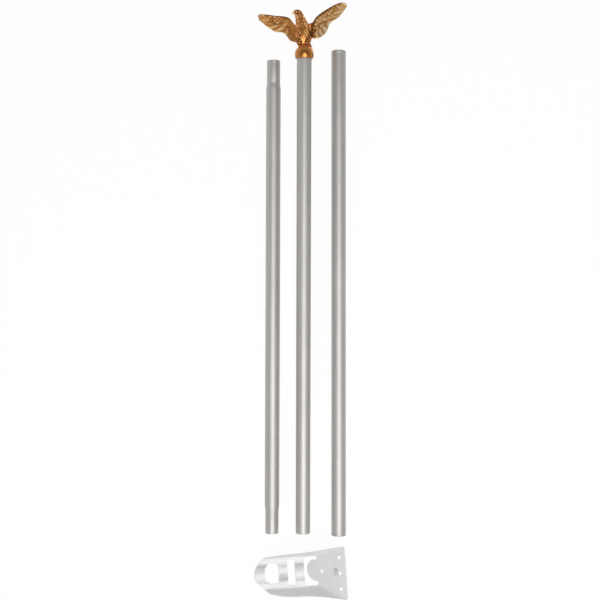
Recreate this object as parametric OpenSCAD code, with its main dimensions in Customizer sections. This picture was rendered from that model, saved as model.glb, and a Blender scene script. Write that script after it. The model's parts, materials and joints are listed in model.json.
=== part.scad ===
// Household flagpole kit, taken apart and laid out on a flat surface: three tube sections
// side by side, an eagle finial on the top section, and a stamped bracket for the wall.
// +X runs across the tubes, +Y towards the finial, +Z up. The surface is at Z = 0.

/* [Tubes] */
// Outside diameter of all three sections
tube_od = 19.05; // [15:0.05:25]
// Wall of the tubes
tube_wall = 0.8; // [0.6:0.1:1.4]
// Length of the bottom section, which has two plain ends
bottom_len = 640; // [400:5:800]
// Length of the middle section, over its two swaged ends
middle_len = 624; // [400:4:800]
// Length of the top section, with the part inside the finial
top_len = 634; // [400:2:800]
// Length of a swaged end, as far as its shoulder
swage_len = 30; // [20:1:50]
// Length of the shoulder, a cone up to the full diameter
shoulder_len = 8; // [4:1:16]
// Gap all round between a swaged end and the tube that takes it
swage_gap = 0.05; // [0.02:0.01:0.2]
// Bevel on the outer edge of each tube end
bevel = 0.25; // [0.1:0.05:0.4]

/* [Layout] */
// Middle of the bottom section, across the layout
bottom_x = 50.1; // [45:0.1:70]
// Middle of the middle section, across the layout
middle_x = -38.2; // [-70:0.1:-32]
// Middle of the top section at its lower end, across the layout
top_x = 2.8; // [0:0.1:6]
// Lower end of the middle section, along the layout
lower_y = -311.5; // [-330:0.5:-300]
// How much further down the bottom section lies
bottom_step = 3; // [0:1:6]
// Least distance from the ball's centre down to the bottom section's upper end
finial_to_bottom = -8.7; // [-10:0.1:20]
// Least distance from the ball's centre down to the middle section's upper end
finial_to_middle = 4.3; // [-6:0.1:30]
// Gap along the layout between the lowest tube end and the bracket
bracket_gap = 10.3; // [4:0.1:30]
// Place of the bracket's nose, across the layout
bracket_x = -61.4; // [-90:0.1:-40]
// Turn of the bracket in the plane of the layout
bracket_yaw = 4; // [0:0.1:6]
// Turn of the middle section in the plane of the layout
middle_yaw = 0.21; // [0:0.01:1]
// Turn of the top section in the plane of the layout
top_yaw = 0.16; // [0:0.01:1]
// Slope of the top section, whose finial lifts its upper end
top_slope = 1.6; // [1.2:0.1:3]

/* [Finial] */
// Radius of the ball beyond the tube that it caps
ball_over_tube = 2.95; // [2:0.05:6]
// Depth of the ball's socket, from its rim to its floor
socket_depth = 11; // [8:0.5:12]
// Distance from the ball's rim up to its centre
ball_rim = 5.5; // [4:0.5:7]
// Gap all round between the tube and the ball's socket
socket_gap = 0.1; // [0.05:0.05:0.3]
// Distance between the tips of the eagle's wings
wing_span = 117.5; // [90:0.5:140]
// Thickness of a wing along its front edge
wing_thick = 4.4; // [3:0.2:6]
// Gap between the eagle's feet and the ball
seat_gap = 0.2; // [0.1:0.05:0.3]

/* [Bracket] */
// Thickness of the bracket's sheet
sheet = 1.2; // [0.8:0.1:2]
// Length of the arm, from its nose to the bend
arm_len = 84; // [80:1:110]
// Width of the arm between the creases of its flanges
arm_w = 42; // [42:1:60]
// Length of the wall plate, from the bend to its free edge
plate_len = 46; // [38:0.5:60]
// Angle between the arm and the wall plate's plane
plate_angle = 37; // [30:1:50]
// Height of the flanges beside the arm
flange_h = 14; // [8:1:18]
// Lean of the flanges out from upright
flange_lean = 24.6; // [10:0.2:35]
// Width of the three bands that hold the pole
band_w = 12.2; // [8:0.2:13]
// Extra width of the nose band, whose front is cut away by the rounded nose
nose_extra = 2.2; // [0:0.2:5]
// Gap all round between the pole and the bands
band_gap = 0.3; // [0.1:0.1:0.8]
// Radius of the curve from a band into the flat sheet
band_foot = 3; // [2:0.5:4]
// Length of the opening between the nose band and the middle band
oval_len = 17.2; // [14:0.2:20]
// Length of the slot between the middle band and the last band
slot_len = 10; // [8:0.2:12]
// Diameter of the four screw holes
screw_d = 5; // [3:0.5:6]
// Distance between neighbours in the row of three screw holes
screw_pitch = 20.5; // [16:0.5:22]
// Distance from the plate's free edge to that row
screw_edge = 9.8; // [6:0.1:12]
// Distance from the bend to the single screw hole
screw_root = 6.9; // [5:0.1:9]

/* [Hidden] */
tube_r = tube_od / 2;
bore_r = tube_r - tube_wall;
swage_r = bore_r - swage_gap;
arc_steps = 10;

// The finial's frame: origin at the ball's centre, +Y along the pole, +Z away from the surface
ball_r = tube_r + ball_over_tube;
ball_y = top_len - socket_depth + ball_rim;
ball_z = tube_r * cos(top_slope) + ball_y * sin(top_slope);
drawn_span = 117.5;
eagle_k = wing_span / drawn_span;

// Along the layout, the finial lies past the ends of its neighbours, which the wings clear
bottom_y = lower_y - bottom_step;
finial_at = max(bottom_y + bottom_len + finial_to_bottom, lower_y + middle_len + finial_to_middle);
top_y = finial_at - ball_y * cos(top_slope);

// The bracket's frame: origin at the nose, +X along the arm, Z = 0 in the middle of the sheet
band_r = tube_r + band_gap;
arm_z = band_r + sheet;
foot_z = sheet / 2 + band_foot;
foot_y = sqrt(pow(band_r + sheet + band_foot, 2) - pow(foot_z, 2));
foot_a = atan2(foot_z, foot_y);
tongue_len = (arm_z - sheet / 2 * cos(plate_angle)) / sin(plate_angle);
lap = 0.4;
nose_len = 29;
nose_band_w = band_w + nose_extra;
band2_x = nose_band_w + oval_len;
band3_x = band2_x + band_w + slot_len;
cutout_x = band3_x + band_w;
rail_w = 1.6;
slot_inset = 2.4;
tongue_inset = 5.4;
cutout_y = arm_w / 2 - rail_w;
slot_y = cutout_y - slot_inset;
tongue_y = cutout_y - tongue_inset;
plate_corner = 3;
flange_start = nose_len - 6;
flange_level = 0.7 * arm_len;
flange_stop = plate_len - 4;
plate_y = arm_w / 2 + plate_len * sin(plate_angle) * tan(flange_lean);
plate_x = arm_len + plate_len * cos(plate_angle);
bracket_up = plate_x * sin(bracket_yaw) + plate_y * cos(bracket_yaw);
bracket_y = min(bottom_y, lower_y, top_y) - bracket_gap - bracket_up;

// Points along an arc about c, from angle a1 to angle a2
function arc(c, r, a1, a2) = [
    for (i = [0:arc_steps]) let (a = a1 + (a2 - a1) * i / arc_steps) c + r * [cos(a), sin(a)]
];
// The same outline with its mirror image below the first axis, as one loop
function both_sides(pts) = concat(pts, [for (i = [len(pts) - 1:-1:0]) [pts[i].x, -pts[i].y]]);

// ---- Tubes, each with its lower end at the origin and its axis along +Y

// Half section of a tube's plain end, from the bore's edge out
function plain_end(y, up) = [[bore_r, y], [tube_r - bevel, y], [tube_r, y - up * bevel]];

// Half section of a tube's swaged end: its outer side only
function swaged_end(y, up) = [
    [swage_r - bevel, y],
    [swage_r, y - up * bevel],
    [swage_r, y - up * swage_len],
    [tube_r, y - up * (swage_len + shoulder_len)],
];

module tube(profile) {
    rotate([-90, 0, 0]) rotate_extrude($fn = 96) polygon(profile);
}

module plain_tube(length) {
    lower = plain_end(0, -1);
    upper = plain_end(length, 1);
    tube(concat(lower, [upper[2], upper[1], upper[0]]));
}

module swaged_tube(length) {
    lower = swaged_end(0, -1);
    upper = swaged_end(length, 1);
    inner = [
        for (end = [[length, 1], [0, -1]], p = end[1] > 0 ? [0, 1, 2] : [2, 1, 0])
            let (along = [0, swage_len, swage_len + shoulder_len][p])
            [p < 2 ? swage_r - tube_wall : bore_r, end[0] - end[1] * along]
    ];
    tube(concat(lower, [upper[3], upper[2], upper[1], upper[0]], inner));
}

// Puts a tube's frame where the top section lies
module on_top_section() {
    translate([top_x, top_y, tube_r * cos(top_slope)]) rotate([top_slope, 0, -top_yaw]) children();
}

module bottom_section() {
    color("silver") translate([bottom_x, bottom_y, tube_r]) plain_tube(bottom_len);
}

module middle_section() {
    color("silver") translate([middle_x, lower_y, tube_r]) rotate([0, 0, -middle_yaw])
        swaged_tube(middle_len);
}

module top_section() {
    color("silver") on_top_section() plain_tube(top_len);
}

// ---- Finial

module finial_ball() {
    color("goldenrod") on_top_section() translate([0, ball_y, 0]) rotate([-90, 0, 0])
        difference() {
            sphere(ball_r, $fn = 96);
            translate([0, 0, -ball_rim - ball_r]) cube(2 * ball_r, center = true);
            translate([0, 0, -ball_rim - ball_r])
                cylinder(h = ball_r + socket_depth, r = tube_r + socket_gap, $fn = 96);
        }
}

// Places on the eagle, as [across, up from the ball's top, forward], and the radius there
torso = [
    [[-1.4, 3.5, 0], 8.6], [[-1.6, 10, 0], 9.4], [[-2.2, 18, 0.5], 9.2], [[-2.6, 25, 1], 8.3],
    [[-3.9, 31, 1.6], 7.2], [[-5.8, 35, 2.2], 6], [[-7.4, 39, 2.6], 5.4]
];
beak = [[[-11, 40.6, 3], 3.1], [[-14.2, 40.2, 3.2], 1.7], [[-15.6, 38.6, 3.2], 0.7]];
tail = [[[-1.6, 9, -6], 5.4], [[-1.6, -1, -13.2], 2.2]];
legs = [[[-7, 5, 3.5], 4.6], [[-6.4, -3, 6.2], 2.2], [[4.2, 5, 3.5], 4.6], [[3.6, -3, 6.2], 2.2]];

// Stations along each wing: [front edge across, up], [rear edge across, up]
left_wing = [
    [[-5, 21], [-6, 6]], [[-13.6, 26], [-14.5, 4.6]], [[-19.4, 33.2], [-19.5, 7.6]],
    [[-26.5, 36.4], [-26.5, 17.2]], [[-38.4, 39.4], [-38.3, 21.7]], [[-49.2, 42], [-47, 28.7]],
    [[-59.6, 44.4], [-58.6, 39.5]]
];
right_wing = [
    [[2, 22], [3, 12]], [[10.6, 27.6], [11, 9.2]], [[15.7, 37.2], [16.5, 9]],
    [[23, 44.1], [23, 12.9]], [[31.3, 50], [31, 19.3]], [[40.5, 56], [36.5, 31]],
    [[48.4, 59.4], [46.2, 43.6]], [[53.8, 59.2], [54.6, 55.4]]
];
wing_root_x = 8;
wing_edge = [wing_thick / 2, wing_thick / 4];

function eagle_at(p) = eagle_k * p + [0, ball_r, 0];

// Depth of a wing behind the pole's axis: nothing at its root, down to the surface at its tip
function wing_depth(x, tip) =
    let (reach = max(0, abs(x) - wing_root_x) / (abs(tip[0].x) - wing_root_x))
    let (tip_up = ball_r + eagle_k * tip[0].y)
    let (full = (ball_z + tip_up * sin(top_slope) - wing_edge[0]) / cos(top_slope))
    -full * pow(reach, 1.25);

module bead(at, r) {
    translate(eagle_at(at)) sphere(r * eagle_k, $fn = 20);
}

module chain(beads) {
    for (i = [0:len(beads) - 2]) hull() {
        bead(beads[i][0], beads[i][1]);
        bead(beads[i + 1][0], beads[i + 1][1]);
    }
}

// One station of a wing: a thick front edge and a thin rear edge
module wing_rib(station, tip) {
    for (e = [0, 1]) {
        at = eagle_at([station[e].x, station[e].y, 0]);
        translate(at + [0, 0, wing_depth(station[e].x, tip)]) sphere(wing_edge[e], $fn = 12);
    }
}

module wing(stations) {
    tip = stations[len(stations) - 1];
    for (i = [0:len(stations) - 2]) hull() {
        wing_rib(stations[i], tip);
        wing_rib(stations[i + 1], tip);
    }
}

module finial_eagle() {
    color("goldenrod") on_top_section() translate([0, ball_y, 0]) difference() {
        union() {
            chain(torso);
            chain(concat([torso[len(torso) - 1]], beak));
            chain(tail);
            for (first = [0, 2]) chain([legs[first], legs[first + 1]]);
            wing(left_wing);
            wing(right_wing);
        }
        sphere(ball_r + seat_gap, $fn = 64);
    }
}

// ---- Bracket

// Outline of the arm in plan: a rounded nose, then parallel creases back to the bend
function arm_outline() = both_sides(concat(
    [for (i = [1:arc_steps]) let (a = 90 * i / arc_steps)
        [nose_len * (1 - cos(a)), (arm_w / 2 + lap) * sin(a)]],
    [[arm_len + lap, arm_w / 2 + lap]]
));

// Outline of the hole in the arm: under the bands it is narrow, at the slot and the cut-out
// it is wide, and it narrows again round the root of the tongue
function arm_hole() = both_sides([
    [-1, foot_y], [band2_x + band_w, foot_y], [band2_x + band_w, slot_y], [band3_x, slot_y],
    [band3_x, foot_y], [cutout_x, foot_y], [cutout_x, cutout_y], [arm_len - 5, cutout_y],
    [arm_len - 1, cutout_y - 1.6], [arm_len + 1, tongue_y + 2.4]
]);

// Cross-section of a band that arches up over the pole
function band_section() = concat(
    [[-foot_y - 1, sheet / 2]],
    arc([-foot_y, foot_z], band_foot, 270, 360 - foot_a),
    arc([0, 0], band_r + sheet, 180 - foot_a, foot_a),
    arc([foot_y, foot_z], band_foot, 180 + foot_a, 270),
    [[foot_y + 1, sheet / 2], [foot_y + 1, -sheet / 2]],
    arc([foot_y, foot_z], band_foot + sheet, 270, 180 + foot_a),
    arc([0, 0], band_r, foot_a, 180 - foot_a),
    arc([-foot_y, foot_z], band_foot + sheet, 360 - foot_a, 270),
    [[-foot_y - 1, -sheet / 2]]
);

module band(x, length) {
    translate([x, 0, 0]) rotate([90, 0, 90]) linear_extrude(length) polygon(band_section());
}

module nose_band() {
    intersection() {
        band(0, nose_band_w);
        linear_extrude(3 * band_r, center = true) polygon(arm_outline());
    }
}

// The wall plate and, past the bend, the tongue that stays in its plane
module plate_and_tongue() {
    side_a = atan2(plate_y - arm_w / 2, plate_len);
    plate = both_sides(concat(
        [for (i = [0:arc_steps]) let (a = 90 * i / arc_steps)
            [-tongue_len * cos(a), tongue_y * sin(a)]],
        [[0, tongue_y], [0, arm_w / 2 + lap]],
        arc([plate_len, plate_y + lap / 2] - plate_corner * [1, 1], plate_corner, 90 + side_a, 0)
    ));
    translate([arm_len, 0, 0]) rotate([0, -plate_angle, 0]) difference() {
        linear_extrude(sheet, center = true) polygon(plate);
        for (y = [-1:1]) translate([plate_len - screw_edge, y * screw_pitch, 0]) screw_hole();
        translate([screw_root, 0, 0]) screw_hole();
    }
}

module screw_hole() {
    cylinder(h = 3 * sheet, d = screw_d, center = true, $fn = 48);
}

// Height of a flange's edge above the arm: it rises from the nose, runs level beside the
// bands and climbs to the free edge of the plate
function flange_edge(x) =
    let (rise = plate_len * sin(plate_angle) - flange_h)
    x < flange_level
        ? flange_h * sqrt(1 - pow((flange_level - x) / (flange_level - flange_start), 2))
        : flange_h + rise * pow((x - flange_level) / (plate_x - flange_level), 2);

module flange() {
    end_x = arm_len + flange_stop * cos(plate_angle);
    stretch = 1 / cos(flange_lean);
    edge = [
        for (i = [0:2 * arc_steps])
            let (x = flange_start + (end_x - flange_start) * i / (2 * arc_steps))
            [x, flange_edge(x) * stretch]
    ];
    foot = [
        [end_x + lap, flange_stop * sin(plate_angle) * stretch - lap],
        [arm_len + lap, -lap], [flange_start, -lap]
    ];
    translate([0, arm_w / 2, 0]) rotate([90 - flange_lean, 0, 0])
        linear_extrude(sheet, center = true) polygon(concat(edge, foot));
}

module wall_bracket() {
    color("gainsboro") translate([bracket_x, bracket_y, arm_z]) rotate([0, 0, bracket_yaw])
        union() {
            linear_extrude(sheet, center = true) difference() {
                polygon(arm_outline());
                polygon(arm_hole());
            }
            nose_band();
            mirror([0, 0, 1]) band(band2_x, band_w);
            band(band3_x, band_w);
            plate_and_tongue();
            flange();
            mirror([0, 1, 0]) flange();
        }
}

bottom_section();
middle_section();
top_section();
finial_ball();
finial_eagle();
wall_bracket();
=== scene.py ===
"""Household flagpole kit, laid out flat: three aluminium tube sections, a gilt eagle finial
on the top one, and a stamped wall bracket. Shapes are worked out in millimetres and placed
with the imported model's own mounts and boxes.
"""

import json
import math

import bmesh
import bpy
import numpy as np
from mathutils import Matrix, Vector
from mathutils.geometry import delaunay_2d_cdt


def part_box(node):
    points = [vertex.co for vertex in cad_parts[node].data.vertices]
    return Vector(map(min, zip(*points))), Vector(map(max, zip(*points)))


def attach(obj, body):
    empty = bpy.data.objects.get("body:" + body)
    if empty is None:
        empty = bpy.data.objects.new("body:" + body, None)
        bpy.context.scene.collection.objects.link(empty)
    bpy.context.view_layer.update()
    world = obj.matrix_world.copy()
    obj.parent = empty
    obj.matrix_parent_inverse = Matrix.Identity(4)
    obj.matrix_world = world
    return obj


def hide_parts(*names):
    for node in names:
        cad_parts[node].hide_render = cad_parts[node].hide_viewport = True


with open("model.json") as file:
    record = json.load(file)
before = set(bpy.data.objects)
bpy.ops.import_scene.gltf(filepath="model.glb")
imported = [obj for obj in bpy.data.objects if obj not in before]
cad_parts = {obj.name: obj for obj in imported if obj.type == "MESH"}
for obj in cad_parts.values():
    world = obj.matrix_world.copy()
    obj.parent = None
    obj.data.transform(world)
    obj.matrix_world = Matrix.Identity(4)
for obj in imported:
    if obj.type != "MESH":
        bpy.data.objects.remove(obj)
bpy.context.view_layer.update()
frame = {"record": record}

MM = 0.001
mounts = {m["name"]: m for m in frame["record"]["mounts"]}
scene = bpy.context.scene

# ---- Driving sizes, in millimetres

TUBE_R = (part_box("bottom_section")[1].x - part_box("bottom_section")[0].x) / 2 / MM
BORE_R = mounts["bottom_section_bore"]["dims"]["r_mm"]
SWAGE_R = mounts["middle_section_upper_end"]["dims"]["r_mm"]
WALL = TUBE_R - BORE_R
SWAGE_LEN, SHOULDER_LEN = 30.0, 8.0

BALL_R = 12.47
BALL_BELOW_END = 5.5  # from the top section's upper end down to the ball's centre
BALL_RIM = 5.5  # from the ball's centre down to its rim
SOCKET_DEPTH = 11.0

SHEET = 1.2
ARM_LEN, ARM_W, PLATE_LEN = 84.0, 42.0, 45.8
PLATE_ANGLE, FLANGE_LEAN = math.radians(37), math.radians(24.6)
FREE_X = ARM_LEN + PLATE_LEN * math.cos(PLATE_ANGLE)  # the plate's free edge, from above
FLANGE_H, FLANGE_START = 14.0, 5.5
NOSE_LEN, NOSE_BACK = 26.0, 0.2
SEAT_X = 34.0  # from the nose to the pole's seat
BAND_R, BAND_FOOT_R = 10.425, 3.6  # middle of the sheet
FOOT_Y = math.sqrt((BAND_R + BAND_FOOT_R) ** 2 - BAND_FOOT_R ** 2)  # where a band's foot ends
BANDS = [(0, 14.4, 1), (31.6, 43.8, -1), (53.8, 66.0, 1)]  # from, to, up or down
CUTOUT_Y, SLOT_Y, TONGUE_Y = 19.4, 17.0, 14.0
CORNER_R = 3.0  # at the plate's free corners
EDGE_STEP = 0.9  # between points along a cut edge
EASE = 0.22  # taken off the sheet's cut edges
GRID_CLEAR = 0.7  # from a cut edge to the nearest inner point
HOLE_R = mounts["screw_hole_middle"]["dims"]["r_mm"]
HOLE_ROW_X = ARM_LEN + (PLATE_LEN - 9.6) * math.cos(PLATE_ANGLE)
HOLE_PITCH = 20.5
HOLES = ([(ARM_LEN + 6.9 * math.cos(PLATE_ANGLE), 0)]
         + [(HOLE_ROW_X, HOLE_PITCH * i) for i in (-1, 0, 1)])
MARK_DEPTH = 0.35


# ---- Small numeric helpers

def smooth(x, lo, hi):
    """0 below lo, 1 above hi, and a soft step between."""
    t = np.clip((np.asarray(x, float) - lo) / (hi - lo), 0, 1)
    return t * t * (3 - 2 * t)


def smax(a, b, k):
    """The larger of a and b, with a soft corner of height k between them."""
    return np.maximum(a, b) + np.maximum(k - np.abs(a - b), 0) ** 2 / (4 * k)


def spline(points, t):
    """Catmull-Rom curve through points, at places t from 0 to 1."""
    p = np.asarray(points, float)
    p = np.vstack([2 * p[0] - p[1], p, 2 * p[-1] - p[-2]])
    x = np.clip(np.asarray(t, float), 0, 1) * (len(p) - 3)
    i = np.minimum(x.astype(int), len(p) - 4)
    f = (x - i)[:, None]
    a, b, c, d = p[i], p[i + 1], p[i + 2], p[i + 3]
    return 0.5 * (2 * b + (c - a) * f + (2 * a - 5 * b + 4 * c - d) * f ** 2
                  + (3 * b - a - 3 * c + d) * f ** 3)


def unit(v):
    return v / np.maximum(np.linalg.norm(v, axis=-1, keepdims=True), 1e-9)


# ---- Making pieces

def turn_outward(mesh):
    """Turns a closed mesh's faces over if they face its inside."""
    solid = bmesh.new()
    solid.from_mesh(mesh)
    if solid.calc_volume(signed=True) < 0:
        mesh.flip_normals()
    solid.free()


def piece(name, verts, faces, place, material, stands_for=None, sharp=38, relief=None):
    mesh = bpy.data.meshes.new(name)
    mesh.from_pydata((np.asarray(verts, float) * MM).tolist(), [], [list(f) for f in faces])
    mesh.validate()
    mesh.transform(place)
    turn_outward(mesh)
    # Per-point tone for the material, carrying painted shade and painted highlight where the pieces
    # have them.
    if relief is not None:
        layer = mesh.attributes.new("relief", "FLOAT", "POINT")
        layer.data.foreach_set("value", np.asarray(relief, np.float32).ravel())
    mesh.shade_smooth()
    mesh.set_sharp_from_angle(angle=math.radians(sharp))
    mesh.materials.append(material)
    obj = bpy.data.objects.new(name, mesh)
    scene.collection.objects.link(obj)
    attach(obj, "root")
    if stands_for:
        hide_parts(stands_for)
    return obj


def loop_faces(rings, around, closed=False):
    """Quads between rings of points; closed joins the last ring to the first."""
    faces = []
    for i in range(rings if closed else rings - 1):
        a, b = i * around, ((i + 1) % rings) * around
        for j in range(around):
            k = (j + 1) % around
            faces.append((a + j, a + k, b + k, b + j))
    return faces


def tube_frame(end, axis):
    """Frame with its origin at end and +Y along axis, turned so that +Z is as near up as can be."""
    y = Vector(axis).normalized()
    x = y.cross(Vector((0, 0, 1))).normalized()
    z = x.cross(y)
    rows = Matrix((x, y, z)).transposed().to_4x4()
    return Matrix.Translation(end) @ rows


# ---- Materials

WHITE_SHARE = 0.95  # how much of the floor's look is plain white, to the eye and in reflections


class Nodes:
    """Short names for the few node kinds that the materials here are built from."""

    def __init__(self, name):
        self.material = bpy.data.materials.new(name)
        self.material.use_nodes = True
        self.tree = self.material.node_tree
        self.shader = self.tree.nodes["Principled BSDF"]
        self.place = self.add("ShaderNodeTexCoord").outputs["Object"]

    def add(self, kind, **values):
        node = self.tree.nodes.new(kind)
        for key, value in values.items():
            setattr(node, key, value)
        return node

    def link(self, source, target):
        self.tree.links.new(source, target)

    def noise(self, scale, detail=3.0, stretch=(1, 1, 1)):
        mapping = self.add("ShaderNodeMapping")
        mapping.inputs["Scale"].default_value = stretch
        self.link(self.place, mapping.inputs["Vector"])
        node = self.add("ShaderNodeTexNoise")
        node.inputs["Scale"].default_value = scale
        node.inputs["Detail"].default_value = detail
        self.link(mapping.outputs["Vector"], node.inputs["Vector"])
        return node.outputs["Fac"]

    def ramp(self, factor, stops):
        """Colours at places from 0 to 1; a stop's colour is one grey level or three."""
        node = self.add("ShaderNodeValToRGB")
        marks = node.color_ramp.elements
        while len(marks) < len(stops):
            marks.new(0.5)
        for mark, (at, colour) in zip(marks, stops):
            mark.position = at
            rgb = (colour,) * 3 if isinstance(colour, float) else colour
            mark.color = (*rgb, 1)
        self.link(factor, node.inputs["Fac"])
        return node.outputs["Color"]

    def blend(self, factor, a, b, mode="MIX"):
        node = self.add("ShaderNodeMix", data_type="RGBA", blend_type=mode)
        node.inputs["Factor"].default_value = factor
        self.link(a, node.inputs["A"])
        self.link(b, node.inputs["B"])
        return node.outputs["Result"]

    def bump(self, layers):
        """A chain of bumps, each a height, its depth in metres and its strength."""
        normal = None
        for height, depth, strength in layers:
            node = self.add("ShaderNodeBump")
            node.inputs["Distance"].default_value = depth
            node.inputs["Strength"].default_value = strength
            self.link(height, node.inputs["Height"])
            if normal:
                self.link(normal, node.inputs["Normal"])
            normal = node.outputs["Normal"]
        self.link(normal, self.shader.inputs["Normal"])


def tube_aluminium():
    """Satin drawn aluminium: fine lines along the tube, faint clouding, a few handling marks."""
    m = Nodes("tube_aluminium")
    lines = m.noise(900, 2, (1, 0.01, 1))
    clouds = m.noise(38, 3, (1, 0.35, 1))
    marks = m.noise(160, 4, (1, 0.5, 1))
    metal = m.ramp(lines, [(0.25, (0.500, 0.488, 0.473)), (0.75, (0.550, 0.537, 0.520))])
    shade = m.ramp(clouds, [(0.3, 0.93), (0.7, 1.0)])
    m.link(m.blend(1.0, metal, shade, "MULTIPLY"), m.shader.inputs["Base Color"])
    rough = m.ramp(m.blend(0.35, lines, marks), [(0.3, 0.50), (0.7, 0.58)])
    m.link(rough, m.shader.inputs["Roughness"])
    m.shader.inputs["Metallic"].default_value = 1.0
    m.shader.inputs["Specular Tint"].default_value = (0.7, 0.7, 0.7, 1)
    m.bump([(lines, 0.00004, 0.5), (marks, 0.00003, 0.25)])
    return m.material


def bright_sheet():
    """Pressed pale metal sheet: rolling lines, a soft mottle, small scuffs, and painted shade in
    the press mark's dent.
    """
    m = Nodes("bright_sheet")
    lines = m.noise(700, 2, (0.03, 1, 1))
    mottle = m.noise(120, 4)
    scuffs = m.noise(420, 5, (1, 0.4, 1))
    metal = m.ramp(lines, [(0.25, (0.66, 0.653, 0.649)), (0.75, (0.71, 0.703, 0.699))])
    shade = m.ramp(mottle, [(0.3, 0.95), (0.65, 1.0)])
    relief = m.add("ShaderNodeAttribute", attribute_name="relief").outputs["Fac"]
    # Painted shade: the sheet is darkened where the press mark's dent is, standing in for its
    # shadow.
    painted_dent_shade = m.ramp(relief, [(0.0, 1.0), (0.3, 0.8), (1.0, 0.3)])
    clean = m.blend(1.0, metal, shade, "MULTIPLY")
    m.link(m.blend(1.0, clean, painted_dent_shade, "MULTIPLY"), m.shader.inputs["Base Color"])
    rough = m.ramp(m.blend(0.5, mottle, scuffs), [(0.3, 0.58), (0.7, 0.70)])
    m.link(rough, m.shader.inputs["Roughness"])
    m.shader.inputs["Metallic"].default_value = 0.30
    m.bump([(lines, 0.00004, 0.4), (scuffs, 0.00005, 0.3)])
    return m.material


def gold_plate():
    """Gilt over cast feathers: painted highlight makes the crests pale and painted shade makes the
    hollows brown.
    """
    m = Nodes("gold_plate")
    relief = m.add("ShaderNodeAttribute", attribute_name="relief").outputs["Fac"]
    clouds = m.noise(130, 4)
    grain = m.noise(900, 3)
    # Tone turned to gilt colour: low tones are painted shade, high ones painted highlight.
    gilt_with_painted_light = m.ramp(relief, [(0.0, (0.05, 0.02, 0.008)), (0.28, (0.28, 0.10, 0.022)),
                             (0.5, (0.62, 0.25, 0.06)), (0.75, (0.92, 0.58, 0.24)),
                             (1.0, (1.0, 0.90, 0.64))])
    tone = m.ramp(clouds, [(0.3, (0.86, 0.78, 0.66)), (0.7, (1.0, 1.0, 1.0))])
    m.link(m.blend(1.0, gilt_with_painted_light, tone, "MULTIPLY"), m.shader.inputs["Base Color"])
    rough = m.ramp(clouds, [(0.3, 0.13), (0.7, 0.22)])
    m.link(rough, m.shader.inputs["Roughness"])
    m.shader.inputs["Metallic"].default_value = 1.0
    m.shader.inputs["Coat Weight"].default_value = 0.25
    m.shader.inputs["Coat Roughness"].default_value = 0.12
    m.bump([(clouds, 0.0001, 0.25), (grain, 0.00003, 0.3)])
    return m.material


def pale_floor():
    """White card: lit plainly, and nearly white to the eye and in reflections."""
    m = Nodes("pale_floor")
    mottle = m.noise(3, 3)
    m.link(m.ramp(mottle, [(0.3, 0.86), (0.7, 0.88)]), m.shader.inputs["Base Color"])
    m.shader.inputs["Roughness"].default_value = 0.9
    rays = m.add("ShaderNodeLightPath")
    seen = rays.outputs["Is Camera Ray"]
    for kind in ("Is Glossy Ray", "Is Transmission Ray"):
        either = m.add("ShaderNodeMath", operation="MAXIMUM")
        m.link(seen, either.inputs[0])
        m.link(rays.outputs[kind], either.inputs[1])
        seen = either.outputs["Value"]
    share = m.add("ShaderNodeMath", operation="MULTIPLY")
    m.link(seen, share.inputs[0])
    share.inputs[1].default_value = WHITE_SHARE
    glow = m.add("ShaderNodeEmission")
    glow.inputs["Color"].default_value = (1, 1, 1, 1)
    glow.inputs["Strength"].default_value = 1.0
    mix = m.add("ShaderNodeMixShader")
    m.link(share.outputs["Value"], mix.inputs["Fac"])
    m.link(m.shader.outputs["BSDF"], mix.inputs[1])
    m.link(glow.outputs["Emission"], mix.inputs[2])
    m.link(mix.outputs["Shader"], m.tree.nodes["Material Output"].inputs["Surface"])
    return m.material


# ---- Tubes

def round_lip(r, y, up, size=0.22, steps=3):
    """Quarter-round from the end face out to the side of a tube, as (radius, along)."""
    return [(r - size + size * math.sin(a), y - up * (size - size * math.cos(a)))
            for a in (math.pi / 2 * i / steps for i in range(steps + 1))]


def ring_mark(r, y, half=0.4, depth=0.06):
    """A shallow groove round a tube, as (radius, along)."""
    return [(r, y - 2 * half), (r - depth, y - half), (r - depth, y + half), (r, y + 2 * half)]


def plain_profile(length):
    """Closed half section of a tube with two plain, deburred ends, seen from the axis."""
    ends_in = 4.6
    outer = (round_lip(TUBE_R, 0, -1) + ring_mark(TUBE_R, ends_in)
             + [(TUBE_R, length * i / 6) for i in range(1, 6)]
             + ring_mark(TUBE_R, length - ends_in) + round_lip(TUBE_R, length, 1)[::-1])
    inner = [(BORE_R + 0.12, length), (BORE_R, length - 0.2), (BORE_R, 0.2), (BORE_R + 0.12, 0)]
    return outer + inner


def swaged_profile(length):
    """Closed half section of a tube whose two ends are drawn in, with soft shoulders."""
    def outside(up, end):
        lip = round_lip(SWAGE_R, end, up)
        rings = [(SWAGE_R - 0.1, end - up * 3.4), (SWAGE_R, end - up * 4.3)]
        shoulder = []
        for i in range(9):
            t = i / 8
            rise = t * t * (3 - 2 * t)
            shoulder.append((SWAGE_R + (TUBE_R - SWAGE_R) * rise,
                             end - up * (SWAGE_LEN + SHOULDER_LEN * t)))
        groove = [(SWAGE_R, end - up * (SWAGE_LEN - 1.4)),
                  (SWAGE_R - 0.22, end - up * (SWAGE_LEN - 0.6))]
        return lip + [(SWAGE_R, end - up * 2.6)] + rings + groove + shoulder[1:]

    def inside(up, end):
        thin = SWAGE_R - WALL
        return [(thin + 0.12, end), (thin, end - up * 0.2), (thin, end - up * SWAGE_LEN),
                (BORE_R, end - up * (SWAGE_LEN + SHOULDER_LEN))]

    return (outside(-1, 0) + [(TUBE_R, length * i / 6) for i in range(1, 6)]
            + outside(1, length)[::-1] + inside(1, length) + inside(-1, 0)[::-1])


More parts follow.
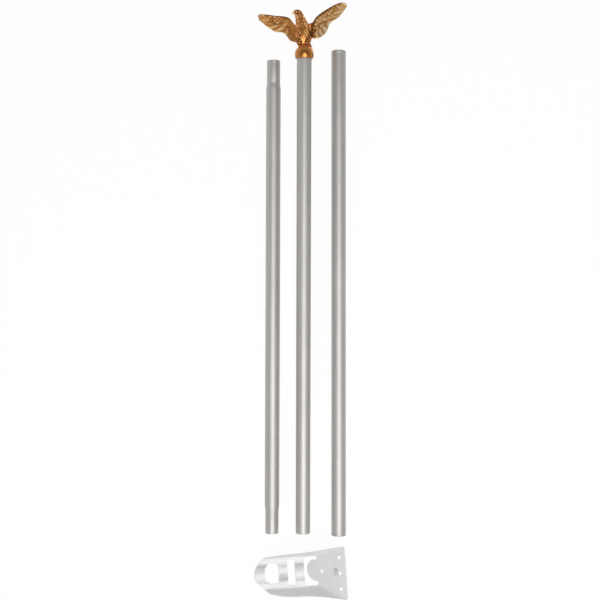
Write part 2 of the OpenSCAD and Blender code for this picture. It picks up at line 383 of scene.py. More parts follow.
def turned(profile, around):
    """Rings of points from a half section, (radius, along) points, turned about +Y."""
    angle = np.arange(around) * 2 * math.pi / around
    return [np.stack([r * np.sin(angle), np.full(around, y), r * np.cos(angle)], 1)
            for r, y in profile]


def make_tube(node, profile, place, material):
    """A tube section, from its closed half section."""
    around = 120
    faces = loop_faces(len(profile), around, closed=True)
    piece(node + "_tube", np.concatenate(turned(profile, around)), faces, place, material,
          node)


def place_of_bore(name):
    """Frame of a plain tube: origin at its lower end, +Y up the tube, and its length."""
    m = mounts[name]
    half = m["dims"]["length_mm"] * MM / 2
    up = Vector(m["axis"]) * (1 if m["axis"][1] > 0 else -1)
    return tube_frame(Vector(m["pos_m"]) - up * half, up), m["dims"]["length_mm"]


def place_of_middle():
    """Frame of the swaged tube, from the mounts in the middle of its two swaged ends."""
    low, high = mounts["middle_section_lower_end"], mounts["middle_section_upper_end"]
    up = (Vector(high["pos_m"]) - Vector(low["pos_m"])).normalized()
    to_end = (low["dims"]["length_mm"] / 2 + 0.25) * MM
    start, stop = Vector(low["pos_m"]) - up * to_end, Vector(high["pos_m"]) + up * to_end
    return tube_frame(start, up), (stop - start).length / MM


def make_tubes(material):
    for node in ("bottom_section", "top_section"):
        place, length = place_of_bore(node + "_bore")
        make_tube(node, plain_profile(length), place, material)
    place, length = place_of_middle()
    make_tube("middle_section", swaged_profile(length), place, material)


def finial_place():
    """Frame with its origin at the ball's centre, +Y up the pole and +Z away from the floor."""
    place, length = place_of_bore("top_section_bore")
    return place @ Matrix.Translation((0, (length - BALL_BELOW_END) * MM, 0))


# ---- Bracket, formed from a flat sheet: x along the arm from its nose, v across it

def band_point(v):
    """Height and place across of the sheet where it arches over the pole, from v across."""
    foot_a = math.atan2(BAND_FOOT_R, FOOT_Y)
    crown = BAND_R * (math.pi / 2 - foot_a)
    foot = BAND_FOOT_R * (math.pi / 2 - foot_a)
    run = np.abs(v) / FOOT_Y * (crown + foot)
    a = run / BAND_R
    b = math.pi / 2 - foot_a - np.clip(run - crown, 0, foot) / BAND_FOOT_R
    y = np.where(run < crown, BAND_R * np.sin(a), FOOT_Y - BAND_FOOT_R * np.sin(b))
    z = np.where(run < crown, BAND_R * np.cos(a), BAND_FOOT_R - BAND_FOOT_R * np.cos(b))
    outside = run >= crown + foot
    return np.where(outside, np.abs(v), y) * np.sign(v), np.where(outside, 0, z)


def flange_top(x):
    """Height of a flange's edge above the arm: up from the nose, level, then up to the plate."""
    level = ARM_LEN * 0.7
    rise = PLATE_LEN * math.sin(PLATE_ANGLE) - FLANGE_H
    reach = PLATE_LEN * math.cos(PLATE_ANGLE) + ARM_LEN - level
    low = np.clip(1 - ((level - x) / (level - FLANGE_START)) ** 2, 0, 1) ** 0.7 * FLANGE_H
    return np.where(x < level, low, FLANGE_H + rise * ((x - level) / reach) ** 2)


def flange_spread(x, v):
    """How far a flange goes out for its height: most at mid-arm, and less on +v there."""
    x = np.asarray(x, float)
    steep = 0.27 + 0.27 * ((x - 46) / 73) ** 2
    bulge = np.exp(-((x - 68) / 42) ** 4)
    return np.where(np.asarray(v, float) > 0, steep + 0.19 * bulge,
                    math.tan(FLANGE_LEAN) + 0.11 * bulge)


def formed(p):
    """Places in the middle of the formed sheet, from flat places (x, v) as seen from above."""
    x, v = p[:, 0], p[:, 1]
    side = np.abs(v)
    flange = (side - ARM_W / 2) / flange_spread(x, v)
    plate = (x - ARM_LEN) * math.tan(PLATE_ANGLE)
    bent = smax(np.zeros_like(x), plate, 1.4)
    tongue = smooth(side, TONGUE_Y + 0.5, CUTOUT_Y - 1)
    bend = np.where(x > BANDS[2][1], plate + (bent - plate) * tongue, bent)
    z = smax(bend, flange, 3.2)
    y = v.copy()
    for start, stop, up in BANDS:
        near = (x > start - 3) & (x < stop + 3) & (side < FOOT_Y)
        arch_y, arch_z = band_point(v[near])
        y[near], z[near] = arch_y, arch_z * up
    z = z - MARK_DEPTH * press_mark(x, v)
    return np.stack([x, y, z], 1)


def press_mark(x, v):
    """Strength, 0 to 1, of the oval dent beside the middle screw hole, and of its pit; it sets the
    dent's depth and also the painted shade that the material puts in it.
    """
    oval = np.exp(-(((x - HOLE_ROW_X + 5.6) / 3.4) ** 2 + ((v - 1.1) / 4.8) ** 2) ** 2)
    pit = np.exp(-((x - HOLE_ROW_X + 4.9) ** 2 + (v - 4.6) ** 2) / 1.5 ** 2)
    return 0.3 * oval + 0.7 * pit


def rounded(corners, step=EDGE_STEP):
    """A closed loop through corners, (x, v, radius) each, with its corners rounded off."""
    pts = []
    n = len(corners)
    for i in range(n):
        p = np.array(corners[i][:2], float)
        r = corners[i][2]
        a = unit(np.array(corners[i - 1][:2], float) - p)
        b = unit(np.array(corners[(i + 1) % n][:2], float) - p)
        if r <= 0:
            pts.append(p)
            continue
        half = math.acos(np.clip(a @ b, -1, 1)) / 2
        cut = r / math.tan(half)
        centre = p + unit(a + b) * r / math.sin(half)
        start, stop = p + a * cut - centre, p + b * cut - centre
        turn = math.atan2(start[0] * stop[1] - start[1] * stop[0], start @ stop)
        steps = max(3, int(abs(turn) * r / step) + 2)
        for k in range(steps + 1):
            c, s = math.cos(turn * k / steps), math.sin(turn * k / steps)
            pts.append(centre + np.array([start[0] * c - start[1] * s,
                                          start[0] * s + start[1] * c]))
    return even(np.array(pts), step)


def even(loop, step):
    """The same closed loop with points no further apart than step."""
    out = []
    for a, b in zip(loop, np.roll(loop, -1, 0)):
        gap = np.linalg.norm(b - a)
        if gap < 1e-6:
            continue
        parts = max(1, math.ceil(gap / step))
        out += [a + (b - a) * k / parts for k in range(parts)]
    return np.array(out)


def sheet_edge(sign):
    """Half of the sheet's outer edge, seen from above: nose, flange edge, half the free edge."""
    nose_a = np.linspace(0, 1, 40)[1:] * math.acos(1 - (NOSE_LEN - 6) / NOSE_LEN)
    nose = np.stack([NOSE_LEN * (1 - np.cos(nose_a)), (ARM_W / 2 + 0.4) * np.sin(nose_a)], 1)
    table = np.linspace(0, FOOT_Y, 200)
    arched = nose[:, 1] < FOOT_Y
    nose[arched, 1] = np.interp(nose[arched, 1], band_point(table)[0], table)
    flanged = nose[:, 0] > FLANGE_START
    nose[:, 1] += flange_top(nose[:, 0]) * flange_spread(nose[:, 0], sign) * flanged
    along = nose[-1, 0] + (FREE_X - CORNER_R - nose[-1, 0]) * np.linspace(0, 1, 100)[1:]
    edge = np.stack([along, ARM_W / 2 + flange_top(along) * flange_spread(along, sign)], 1)
    last = edge[-1]
    corner = [(FREE_X - CORNER_R + CORNER_R * math.sin(a),
               last[1] + 0.6 - CORNER_R * (1 - math.cos(a)) - 0.6 * math.cos(a))
              for a in np.linspace(0, math.pi / 2, 7)[1:]]
    return np.concatenate([nose, edge, np.array(corner)]) * [1, sign]


def sheet_outline():
    """The outer edge of the sheet, seen from above."""
    return even(np.concatenate([sheet_edge(1), sheet_edge(-1)[::-1]]), EDGE_STEP)


def sheet_holes():
    """Every opening in the sheet, seen from above."""
    (_, nose_x, _), (mid_a, mid_b, _), (last_a, last_b, _) = BANDS
    y = FOOT_Y - 0.2
    oval = rounded([(nose_x, -y, 8.5), (mid_a, -y, 2.5), (mid_a, y, 5), (nose_x, y, 8.5)])
    slot = rounded([(mid_b, -SLOT_Y, 1.2), (last_a, -SLOT_Y, 1.2), (last_a, SLOT_Y, 1.2),
                    (mid_b, SLOT_Y, 1.2)])
    tip = 17.5 * math.cos(PLATE_ANGLE)
    tongue = [(ARM_LEN - 3.5 - (tip - 3.5) * math.cos(a), TONGUE_Y * math.sin(a), 0)
              for a in np.linspace(-math.pi / 2, math.pi / 2, 25)]
    cutout = rounded([(last_b, CUTOUT_Y, 1.2), (last_b, -CUTOUT_Y, 1.2),
                      (ARM_LEN - 2, -CUTOUT_Y, 2.2), (ARM_LEN + 1, -TONGUE_Y - 1.4, 1.5)] + tongue
                     + [(ARM_LEN + 1, TONGUE_Y + 1.4, 1.5), (ARM_LEN - 2, CUTOUT_Y, 2.2)])
    turn = np.linspace(0, 2 * math.pi, 33)[:-1]
    screws = [np.stack([x + HOLE_R * math.cos(PLATE_ANGLE) * np.cos(turn),
                        v + HOLE_R * np.sin(turn)], 1) for x, v in HOLES]
    return [oval, slot, cutout] + screws


def inside(points, loop):
    """Which points lie inside a closed loop."""
    x, y = points[:, 0][:, None], points[:, 1][:, None]
    a, b = loop, np.roll(loop, -1, 0)
    crosses = (a[:, 1] > y) != (b[:, 1] > y)
    rise = np.where(b[:, 1] == a[:, 1], 1e-9, b[:, 1] - a[:, 1])
    at = a[:, 0] + (y - a[:, 1]) * (b[:, 0] - a[:, 0]) / rise
    return (crosses & (x < at)).sum(1) % 2 == 1


def area(loop):
    x, y = loop[:, 0], loop[:, 1]
    return (x * np.roll(y, -1) - y * np.roll(x, -1)).sum() / 2


def outward(loop):
    """Unit directions square to the loop, towards its outside."""
    tangent = unit(np.roll(loop, -1, 0) - np.roll(loop, 1, 0))
    side = np.stack([tangent[:, 1], -tangent[:, 0]], 1)
    return side if area(loop) > 0 else -side


def sheet_normals(p):
    """Directions square to the formed sheet at flat places p."""
    e = 0.02
    along = formed(p + [e, 0]) - formed(p - [e, 0])
    across = formed(p + [0, e]) - formed(p - [0, e])
    return unit(np.cross(along, across))


def make_bracket(material):
    """Cuts the flat sheet to triangles, forms it, and gives it its thickness and eased edges."""
    loops = [sheet_outline()] + sheet_holes()
    away = [outward(loops[0])] + [-outward(h) for h in loops[1:]]
    # Rounded as the triangulation rounds them, so that no sliver lands on the wrong side
    inner = [(loop - a * EASE).astype(np.float32).astype(float) for loop, a in zip(loops, away)]
    grid = sheet_grid()
    keep = inside(grid, loops[0] - away[0] * GRID_CLEAR)
    for loop, a in zip(loops[1:], away[1:]):
        keep &= ~inside(grid, loop - a * GRID_CLEAR)
    flat = np.concatenate(inner + [grid[keep]])
    edges, first = [], 0
    for loop in inner:
        n = len(loop)
        edges += [(first + i, first + (i + 1) % n) for i in range(n)]
        first += n
    verts, _, tris, origin, _, _ = delaunay_2d_cdt([Vector(p) for p in flat], edges, [], 0, 1e-7)
    flat = np.array([list(v) for v in verts])
    index = {old: new for new, olds in enumerate(origin) for old in olds}
    tris = np.array([list(t) for t in tris])
    middle = flat[tris].mean(1)
    used = inside(middle, inner[0])
    for hole in inner[1:]:
        used &= ~inside(middle, hole)
    tris = tris[used]

    place, up = formed(flat), sheet_normals(flat)
    half, n = SHEET / 2, len(flat)
    points = [place + up * half, place - up * half]
    # Press-mark strengths at each point, which the sheet's material turns into painted shade in the
    # dent.
    marks = [press_mark(*flat.T)] * 2
    faces = [tuple(t) for t in tris] + [(t[2] + n, t[1] + n, t[0] + n) for t in tris]
    count, first = 2 * n, 0
    for loop, true in zip(inner, loops):
        m = len(loop)
        rim, rim_up = formed(true), sheet_normals(true)
        points += [rim + rim_up * (half - EASE), rim - rim_up * (half - EASE)]
        marks += [press_mark(*true.T)] * 2
        top = [index[first + i] for i in range(m)]
        levels = [top, range(count, count + m), range(count + m, count + 2 * m),
                  [t + n for t in top]]
        flip = area(loop) < 0 if loop is inner[0] else area(loop) > 0
        for a, b in zip(levels, levels[1:]):
            for i in range(m):
                j = (i + 1) % m
                quad = (a[i], b[i], b[j], a[j])
                faces.append(quad[::-1] if flip else quad)
        count += 2 * m
        first += m
    points = np.concatenate(points)
    used = np.unique(np.concatenate([np.ravel(f) for f in faces]))
    renumber = {old: new for new, old in enumerate(used)}
    faces = [tuple(renumber[i] for i in f) for f in faces]
    return piece("wall_bracket_sheet", points[used], faces, bracket_place(), material,
                 "wall_bracket", sharp=45, relief=np.concatenate(marks)[used])


def sheet_grid():
    """Places inside the sheet: even along the arm, close together where it bends."""
    crease = ARM_W / 2
    widest = 34.0
    xs = np.concatenate([np.arange(0.4, ARM_LEN - 3, 0.8),
                         np.arange(ARM_LEN - 2.6, ARM_LEN + 3, 0.4),
                         np.arange(ARM_LEN + 3.4, FREE_X, 0.5)])
    half = np.concatenate([np.arange(0, FOOT_Y - 0.4, 0.55), np.arange(FOOT_Y, crease - 2, 0.8),
                           np.arange(crease - 1.8, crease + 2, 0.35),
                           np.arange(crease + 2.2, widest, 0.6)])
    ys = np.concatenate([-half[:0:-1], half])
    x, y = np.meshgrid(xs, ys, indexing="ij")
    shift = np.zeros_like(x)
    shift[:, ::2] = 0.1
    return np.stack([(x + shift).ravel(), y.ravel()], 1)


def bracket_place():
    """Frame of the bracket, from the seat its bands make: +X back along the arm, from its nose."""
    seat = mounts["pole_seat"]
    back = -Vector(seat["axis"])
    turn = math.atan2(back.y, back.x)
    nose = Vector(seat["pos_m"]) - back * (SEAT_X - NOSE_BACK) * MM
    return Matrix.Translation(nose) @ Matrix.Rotation(turn, 4, "Z")


# ---- Eagle, in the finial's frame: across, up from the ball's top, forward

def on_ball(p):
    """From places measured from the ball's top to places measured from its centre."""
    return np.asarray(p, float) + [0, BALL_R, 0]


def chance(a, b):
    """A steady, random-looking value from 0 to 1 for each pair of whole numbers."""
    wave = np.sin(a * 12.9898 + b * 78.233) * 43758.5453
    return wave - np.floor(wave)


def scales(a, b, tip=1.75):
    """Height, 0 to 1, of overlapping rounded feathers: a counts columns and b counts rows."""
    best = np.zeros_like(a)
    for back in range(3):
        row = np.floor(b) - back
        d = a - row * 0.5
        dx = d - np.round(d)
        dy = b - row
        end = tip * np.sqrt(np.clip(1 - (dx / 0.56) ** 2, 0, 1))
        lift = 0.42 + 0.72 * chance(np.round(d), row)
        body = (0.15 + 0.75 * dy / tip + 0.1 * np.exp(-(dx / 0.09) ** 2)) * lift
        best = np.maximum(best, body * smooth(end - dy, 0, 0.3))
    return np.clip(best, 0, 1)


def blades(q, barb):
    """Height, 0 to 1, of long feathers side by side: q counts feathers, barb runs along them."""
    f = q - np.floor(q)
    roof = (0.3 + 0.6 * np.sin(math.pi * f) ** 0.6) * (0.7 + 0.4 * chance(np.floor(q), 3.0))
    shaft = 0.2 * np.exp(-((f - 0.5) / 0.07) ** 2)
    barbs = 0.08 * np.sin((barb - np.abs(f - 0.5) * 2.2) * math.pi * 2)
    return np.clip(roof + shaft + barbs - 0.1, 0, 1)


def capped_loft(rings):
    """Closed mesh from rings of points, each end closed by a point in its middle."""
    count, around = len(rings), len(rings[0])
    verts = np.concatenate([*rings, rings[0].mean(0)[None], rings[-1].mean(0)[None]])
    faces = loop_faces(count, around)
    low, high, last = count * around, count * around + 1, (count - 1) * around
    for j in range(around):
        k = (j + 1) % around
        faces.append((low, k, j))
        faces.append((high, last + j, last + k))
    return verts, faces


def surface_normals(grid, centre):
    """Outward directions on a grid of rings by places round each ring."""
    along = np.gradient(grid, axis=0)
    around = np.roll(grid, -1, 1) - np.roll(grid, 1, 1)
    n = unit(np.cross(along, around))
    flip = (n * (grid - centre)).sum(-1).mean() < 0
    return -n if flip else n


# Stations up the body: centre across, up, forward, then half width and half depth
BODY = [(-1.2, -1.5, -1.5, 5.2, 4.6), (-1.3, 2, -0.8, 7.6, 7.0), (-1.6, 8, 0, 9.0, 9.0),
        (-2.0, 14, 0.3, 9.3, 9.6), (-2.4, 20, 0.6, 9.0, 9.2), (-2.9, 25.5, 1.0, 8.0, 8.2),
        (-3.9, 30, 1.5, 6.9, 7.0), (-5.2, 34, 2.1, 6.0, 6.1), (-6.6, 37.4, 2.5, 5.6, 5.6),
        (-7.8, 40.4, 2.7, 5.5, 5.2), (-8.6, 42.8, 2.8, 4.6, 4.2), (-9.2, 44.4, 2.8, 2.8, 2.6),
        (-9.4, 45.0, 2.8, 0.6, 0.6)]
EYE = (-10.4, 41.3)


def make_body(material, place):
    """Breast, back, neck and head as one loft, with feathers that shrink towards the head."""
    rings, around = 260, 240
    t = np.linspace(0, 1, rings)
    s = spline(BODY, t)
    turn = np.arange(around) * 2 * math.pi / around
    centre, wide, deep = s[:, :3], s[:, 3], s[:, 4]
    grid = centre[:, None] + np.stack([wide[:, None] * np.sin(turn), np.zeros((rings, around)),
                                       deep[:, None] * np.cos(turn)], -1)
    normal = surface_normals(grid, centre[:, None])
    step = np.linalg.norm(np.gradient(centre, axis=0), axis=1)
    rows = np.cumsum(step / (0.33 * np.maximum(wide, 2.6)))
    b = (rows[-1] - rows)[:, None] + np.zeros(around)
    a = np.broadcast_to(turn / (2 * math.pi) * 16, (rings, around))
    height = scales(a, b)
    up = grid[..., 1]
    head = smooth(up, 33, 38)
    face = np.exp(-((grid[..., 0] + 13.2) ** 2 + (up - 40.6) ** 2) / 9)
    depth = (1.15 - 0.7 * head) * (1 - 0.9 * face)
    away = np.hypot(grid[..., 0] - EYE[0], up - EYE[1])
    eye = 0.75 * np.exp(-(away / 0.85) ** 2) - 0.35 * np.exp(-((away - 1.5) / 0.4) ** 2)
    brow = 0.7 * np.exp(-((grid[..., 0] + 10.2) / 2.6) ** 2 - ((up - 43.2) / 0.55) ** 2)
    height = height * smooth(away, 1.6, 3.2)
    moved = grid + normal * (height * depth + eye + brow * head)[..., None]
    verts, faces = capped_loft(list(on_ball(moved)))
    # Tone from feather height: painted shade in the hollows between feathers, painted highlight on
    # their crests.
    tone = np.clip(0.12 + 0.88 * height, 0, 1)
    # The eye is painted pale as a highlight, and the groove round it dark as shade.
    tone = np.where(away < 1.1, 0.75, np.where(away < 2.0, 0.1, tone))
    # Painted shade on the body's right side, where it meets the right wing.
    tone = tone * (1 - 0.35 * smooth(grid[..., 0], 2.5, 6.5) * smooth(up, 4, 12))
    relief = np.concatenate([tone.ravel(), [0.5, 0.5]])
    return piece("eagle_body", verts, faces, place, material, "finial_eagle",
                 sharp=80, relief=relief)


def tapered(path, radii, rings=40, around=32, flat=1.0):
    """Closed round bar along a curve, its half width given at each of the curve's points."""
    t = np.linspace(0, 1, rings)
    centre = spline(path, t)
    r = spline(np.array(radii, float)[:, None], t)[:, 0]
    tangent = unit(np.gradient(centre, axis=0))
    side = unit(np.cross(tangent, [0.05, 0.1, 1.0]))
    front = np.cross(side, tangent)
    turn = np.arange(around) * 2 * math.pi / around
    return [c + rr * (np.outer(np.cos(turn), a) + flat * np.outer(np.sin(turn), b))
            for c, rr, a, b in zip(centre, r, side, front)]


def make_beak(material, place):
    """Hooked beak: thick at the cere, bent down to a point."""
    path = [(-11.4, 40.9, 2.8), (-13.2, 41.0, 3.0), (-14.7, 40.5, 3.1), (-15.6, 39.4, 3.2),
            (-15.9, 38.1, 3.2)]
    rings = tapered(path, [3.3, 2.5, 1.7, 1.05, 0.28], flat=0.78)
    verts, faces = capped_loft(on_ball(np.array(rings)))
    along = np.repeat(np.linspace(0, 1, 40), 32)
    relief = 0.82 + 0.1 * np.sin(along * 40) * (along < 0.3)
    return piece("eagle_beak", verts, faces, place, material, sharp=70,
                 relief=np.concatenate([relief, [0.4, 0.4]]))


# Stations along each wing: front edge (across, up), rear edge (across, up)
LEFT_WING = [((-3, 19), (-2, 4.5)), ((-8.5, 23.4), (-9.5, 3.6)), ((-13.6, 28), (-14.5, 4.6)),
             ((-19.4, 35.6), (-19.5, 7.6)), ((-26.5, 38.8), (-26.5, 16.8)),
             ((-38.4, 41.3), (-38.3, 20.4)), ((-49.2, 44.2), (-47, 26.6)),
             ((-58.4, 46), (-55.6, 34.8)), ((-61.2, 45.4), (-60, 39))]
RIGHT_WING = [((0, 24), (0, 12)), ((5.4, 27.5), (6.5, 9.5)), ((10.6, 29.6), (11, 9.2)),
              ((15.7, 37.2), (16.5, 9)), ((23, 44.1), (23, 12.6)), ((31.3, 50.4), (29, 19.3)),
              ((40.5, 57), (34.2, 31.4)), ((48.4, 60.9), (45.6, 41.4)), ((53.8, 61.2), (53.6, 53)),
              ((55.8, 59.6), (56, 57))]
WING_ROOT_X = 8.0
WING_SWEEP = 1.25


def wing_depth(x, tip, place):
    """How far a wing lies behind the pole's axis: its tip comes down to the floor."""
    reach = np.clip(np.abs(x) - WING_ROOT_X, 0, None) / (abs(tip[0]) - WING_ROOT_X)
    tip_at = place @ (Vector((tip[0], tip[1] + BALL_R, 0)) * MM)
    full = tip_at.z / MM - 2.3
    return -full * reach ** WING_SWEEP


def make_wing(name, stations, material, place, smooth_root, root_painted_shade, feathers, painted_light_gain):
    """One wing: a rounded front edge, rows of coverts, then long flight feathers.

    smooth_root is the share of its length that is bare; the next argument is that bare part's tone,
    a painted shade level; feathers the count of flight feathers; and the last how much lighter the
    feathered part is painted, a painted highlight on the wing that the light falls on.
    """
    rings, across = 300, 110
    s = np.linspace(0, 1, rings)
    front = spline([p[0] for p in stations], s)
    rear = spline([p[1] for p in stations], s)
    turn = np.linspace(0, math.pi, across)
    t_one = (1 - np.cos(turn)) / 2
    t = np.concatenate([t_one, t_one[-2:0:-1]])
    face = np.concatenate([np.ones(across), -np.ones(across - 2)])
    S, T = np.meshgrid(s, t, indexing="ij")
    lean = 0.06 + 0.42 * S ** 2
    q = (S - T * lean) * feathers
    scallop = np.abs(np.sin(math.pi * q)) ** 0.7
    chord = np.linalg.norm(rear - front, axis=1)[:, None]
    grow = 0.9 * smooth(S, smooth_root - 0.08, smooth_root + 0.04) * smooth(T, 0.75, 1.0)
    reach = T + (scallop - 0.6) * grow / np.maximum(chord, 3)
    plan = front[:, None] + (rear - front)[:, None] * reach[..., None]
    z = wing_depth(plan[..., 0], stations[-1][0], place)
    cup = 1.1 * np.sin(math.pi * np.clip(T, 0, 1)) * (1 - S)
    mid = np.stack([plan[..., 0], plan[..., 1], z - cup], -1)
    along, down = np.gradient(mid, axis=0), np.gradient(mid[:, :across], axis=1)
    n = unit(np.cross(along[:, :across], down))
    n *= np.sign(n[..., 2:])
    n = np.concatenate([n, n[:, -2:0:-1]], 1)
    full = np.interp(np.arange(rings) / rings, [0, 0.86, 1], [1, 0.8, 0.42])[:, None]
    half = full * (2.1 - 1.45 * T ** 0.6)
    half = half * np.sqrt(np.clip(1 - (1 - np.clip(T / 0.1, 0, 1)) ** 2, 0, 1))
    half = half * np.sqrt(np.clip(1 - (1 - np.clip((1 - T) / 0.04, 0, 1)) ** 2, 0, 1))

    coverts_end = 0.8 - 0.34 * S + 0.03 * np.sin(S * 40)
    cover = scales(S * 16 + 0.35 * T, T * 8.5 * (chord / 20) + 0.2)
    flight = blades(q, T * chord / 1.1)
    step = smooth(T, coverts_end, coverts_end + 0.03)
    height = cover * (1 - step) + flight * step
    root = smooth(S, smooth_root - 0.1, smooth_root + 0.06)
    rim = smooth(T, 0.05, 0.12)
    lip = 0.3 * (1 - step) * rim
    relief_mm = (0.8 * height * rim * root + lip * root) * np.where(face > 0, 1, 0.8)
    body = mid + n * (face * half)[..., None] + n * (face * relief_mm)[..., None]
    verts, faces = capped_loft(list(on_ball(body)))
    # Tone from feather height: painted shade in the hollows, painted highlight on the crests, a
    # little lower on the flight feathers.
    tone = (0.12 + 0.88 * height) * (1 - 0.14 * step)
    # The bare root takes its own painted shade level, and the rounded front edge is painted dark as
    # shade.
    tone = tone * root * rim + root_painted_shade * (1 - root) + 0.2 * (1 - rim) * root
    # Painted highlight: the feathered part is made lighter on the wing the light falls on.
    tone = tone * (1 + painted_light_gain * root * rim)
    return piece(name, verts, faces, place, material, sharp=80,
                 relief=np.concatenate([np.clip(tone, 0, 1).ravel(), [0.4, 0.4]]))


def make_tail(material, place):
    """Tail fan behind the ball: a wedge of long feathers."""
    rings, across = 90, 90
    s = np.linspace(0, 1, rings)
    centre = spline([(-0.5, 12, -3.5), (1.4, 6, -7.2), (3.0, 1, -10.6), (4.0, -3.4, -12.8)], s)
    half_w = np.interp(s, [0, 0.3, 1], [5.5, 6.4, 8.0])
    side = np.linspace(-1, 1, across)
    turn = np.concatenate([side, side[-2:0:-1]])
    face = np.concatenate([np.ones(across), -np.ones(across - 2)])
    tangent = unit(np.gradient(centre, axis=0))
    normal = unit(np.cross(tangent, [1.0, 0, 0]))
    if normal[:, 2].mean() > 0:
        normal = -normal
    S, W = np.meshgrid(s, turn, indexing="ij")
    q = (W + 1) / 2 * 7
    height = blades(q, S * 18)
    trim = 1 - 0.06 * (1 - np.abs(np.sin(math.pi * q))) * smooth(S, 0.8, 1)
    edge = np.sqrt(np.clip(1 - np.abs(W) ** 6, 0, 1))
    half = (2.0 - 1.2 * S) * edge
    bow = 1.8 * W ** 2
    offset = (face * (half + 0.45 * height * edge) - bow)[..., None] * normal[:, None]
    middle = centre[:, None] + (W * half_w[:, None])[..., None] * [1.0, 0, 0]
    middle = centre[0] + (middle - centre[0]) * trim[..., None]
    verts, faces = capped_loft(list(on_ball(middle + offset)))
    # Tone from feather height: painted shade between the tail feathers, painted highlight along
    # them.
    return piece("eagle_tail", verts, faces, place, material, sharp=80,
                 relief=np.concatenate([(0.15 + 0.75 * height).ravel(), [0.4, 0.4]]))


def make_legs(material, place):
    """Feathered thighs down to the ball, and three gripping toes on each foot."""
    for name, x, lean in (("left", -6.6, -0.6), ("right", 4.0, 0.6)):
        path = [(x + 1.6, 9.5, 1.5), (x, 5.2, 3.6), (x - lean * 0.2, 1.4, 5.2), (x, -1.8, 6.4)]
        radii = [4.4, 4.7, 3.5, 1.5]
        rings = np.array(tapered(path, radii, rings=110, around=110))
        t = np.linspace(0, 1, 110)
        a = np.broadcast_to(np.arange(110) / 110 * 13, (110, 110))
        b = np.broadcast_to((t * 9)[:, None], (110, 110))
        height = scales(a, b) * (1 - smooth(t, 0.8, 0.95))[:, None]
        middle = rings.mean(1, keepdims=True)
        moved = rings + unit(rings - middle) * (0.45 * height)[..., None]
        verts, faces = capped_loft(list(on_ball(moved)))
        # Tone from feather height: painted shade between the thigh feathers, painted highlight on
        # them.
        piece(f"eagle_{name}_thigh", verts, faces, place, material, sharp=80,
              relief=np.concatenate([(0.15 + 0.5 * height).ravel(), [0.4, 0.4]]))
        make_toes(name, x, material, place)


def make_toes(name, x, material, place):
    """Toes that curl over the ball from the foot, each with a claw."""
    verts, faces = [], []
    for spread in (-26, 0, 26):
        path, radii = [], [1.25, 1.15, 0.95, 0.75, 0.25]
        for i in range(len(radii)):
            down = math.radians(20 + 8.5 * i)
            out = math.radians(x * 3.4 + spread * (0.35 + 0.2 * i))
            rad = BALL_R + 0.35 + 0.35 * (i % 2) - (0.3 if i == 4 else 0)
            path.append((rad * math.sin(down) * math.sin(out), rad * math.cos(down),
                         rad * math.sin(down) * math.cos(out)))
        v, f = capped_loft(tapered(path, radii, rings=28, around=18))
        faces += [tuple(i + len(verts) for i in face) for face in f]
        verts += v.tolist()
    return piece(f"eagle_{name}_toes", verts, faces, place, material, sharp=70,
                 relief=np.full(len(verts), 0.55))


def make_ball(material, place):
    """Gilt ball with an eased rim, open below for the tube."""
    rim_a = math.acos(-BALL_RIM / BALL_R)
    outer = [(BALL_R * math.sin(a), BALL_R * math.cos(a)) for a in np.linspace(0.0, rim_a, 60)[1:]]
    rim_r = outer[-1][0]
    lip = [(rim_r - 0.25, -BALL_RIM), (TUBE_R + 0.25, -BALL_RIM)]
    socket = [(TUBE_R + 0.1, -BALL_RIM + 0.2), (TUBE_R + 0.1, SOCKET_DEPTH - BALL_RIM - 0.2),
              (TUBE_R - 0.2, SOCKET_DEPTH - BALL_RIM)]
    profile = outer[:-1] + [(rim_r + 0.02, -BALL_RIM + 0.15)] + lip + socket
    verts, faces = capped_loft(turned(profile, 128))
    verts[-2], verts[-1] = (0, BALL_R, 0), (0, SOCKET_DEPTH - BALL_RIM, 0)
    return piece("finial_ball_shell", verts, faces, place, material,
                 "finial_ball", relief=np.full(len(verts), 0.42))


# ---- Studio

# Grey levels of the surroundings from the horizon up, and from the middle to the right
WORLD_UP = [(0.0, 0.85), (0.4, 0.72), (0.75, 0.45), (1.0, 0.38)]
WORLD_ACROSS = [(0.0, 1.0), (1.0, 0.7)]
HALF_VIEW = 0.3969  # metres, half of what the picture spans at the tubes' axes
VIEW_SLOPE = 0.3  # tangent of half the camera's angle
VIEW_MIDDLE = (-0.0010, -0.0035)
FLOOR_HALF = 12.0  # metres


def make_floor():
    far = FLOOR_HALF
    mesh = bpy.data.meshes.new("floor")
    mesh.from_pydata([(-far, -far, 0), (far, -far, 0), (far, far, 0), (-far, far, 0)],
                     [], [(0, 1, 2, 3)])
    mesh.materials.append(pale_floor())
    floor = bpy.data.objects.new("floor", mesh)
    scene.collection.objects.link(floor)


def make_light(name, at, tilt, size, power):
    """A soft box facing down, tilted about the line of the tubes; size is across, then along."""
    lamp = bpy.data.lights.new(name, "AREA")
    lamp.shape = "ELLIPSE"
    lamp.size, lamp.size_y = size
    lamp.energy = power
    obj = bpy.data.objects.new(name, lamp)
    obj.location = at
    obj.rotation_euler = (0, math.radians(tilt), 0)
    obj.visible_camera = False
    scene.collection.objects.link(obj)


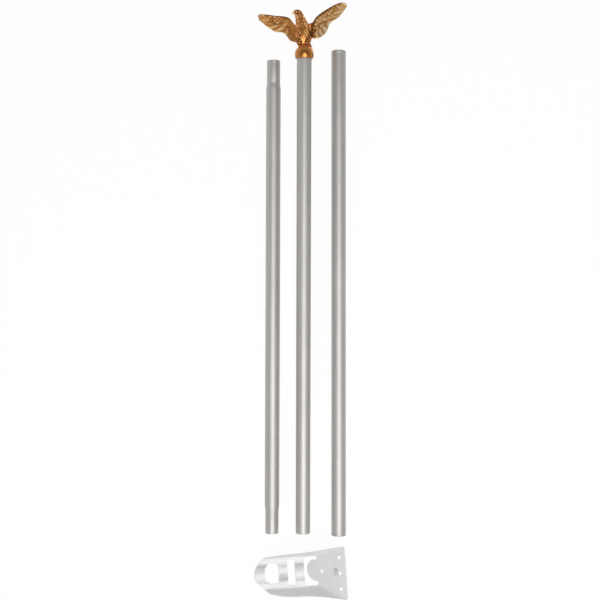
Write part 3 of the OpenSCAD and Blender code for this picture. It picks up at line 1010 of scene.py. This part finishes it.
def make_world():
    """Plain grey surroundings: pale low down, darker overhead and to the right."""
    world = bpy.data.worlds.new("studio")
    world.use_nodes = True
    nodes, links = world.node_tree.nodes, world.node_tree.links
    coord = nodes.new("ShaderNodeTexCoord")
    split = nodes.new("ShaderNodeSeparateXYZ")
    links.new(coord.outputs["Generated"], split.inputs["Vector"])
    mix = nodes.new("ShaderNodeMix")
    mix.data_type, mix.blend_type = "RGBA", "MULTIPLY"
    mix.inputs["Factor"].default_value = 1.0
    for axis, port, stops in (("Z", "A", WORLD_UP), ("X", "B", WORLD_ACROSS)):
        ramp = nodes.new("ShaderNodeValToRGB")
        while len(ramp.color_ramp.elements) < len(stops):
            ramp.color_ramp.elements.new(0.5)
        for mark, (at, grey) in zip(ramp.color_ramp.elements, stops):
            mark.position = at
            mark.color = (grey, grey, grey, 1)
        links.new(split.outputs[axis], ramp.inputs["Fac"])
        links.new(ramp.outputs["Color"], mix.inputs[port])
    links.new(mix.outputs["Result"], nodes["Background"].inputs["Color"])
    nodes["Background"].inputs["Strength"].default_value = 1.0
    scene.world = world


def make_camera():
    cam = bpy.data.cameras.new("camera")
    cam.sensor_fit = "HORIZONTAL"
    cam.angle = 2 * math.atan(VIEW_SLOPE)
    cam.clip_end = 50
    cam.dof.use_dof = False
    obj = bpy.data.objects.new("camera", cam)
    obj.location = (*VIEW_MIDDLE, HALF_VIEW / VIEW_SLOPE + TUBE_R * MM)
    scene.collection.objects.link(obj)
    scene.camera = obj


def make_finial(material):
    place = finial_place()
    make_ball(material, place)
    make_body(material, place)
    make_beak(material, place)
    # Painted light on the wings: the right wing's bare root is painted dark as shade by the body,
    # and its feathers are painted lighter as the wing the light falls on.
    make_wing("eagle_left_wing", LEFT_WING, material, place, smooth_root=0.40, root_painted_shade=0.52,
              feathers=14, painted_light_gain=0.05)
    make_wing("eagle_right_wing", RIGHT_WING, material, place, smooth_root=0.27, root_painted_shade=0.2,
              feathers=15, painted_light_gain=0.35)
    make_tail(material, place)
    make_legs(material, place)


make_tubes(tube_aluminium())
make_finial(gold_plate())
make_bracket(bright_sheet())
make_floor()
make_world()
make_camera()
make_light("soft_box", at=(0.22, -0.9, 1.6), tilt=6, size=(1.5, 2.8), power=29.5)
scene.view_settings.view_transform = "Standard"
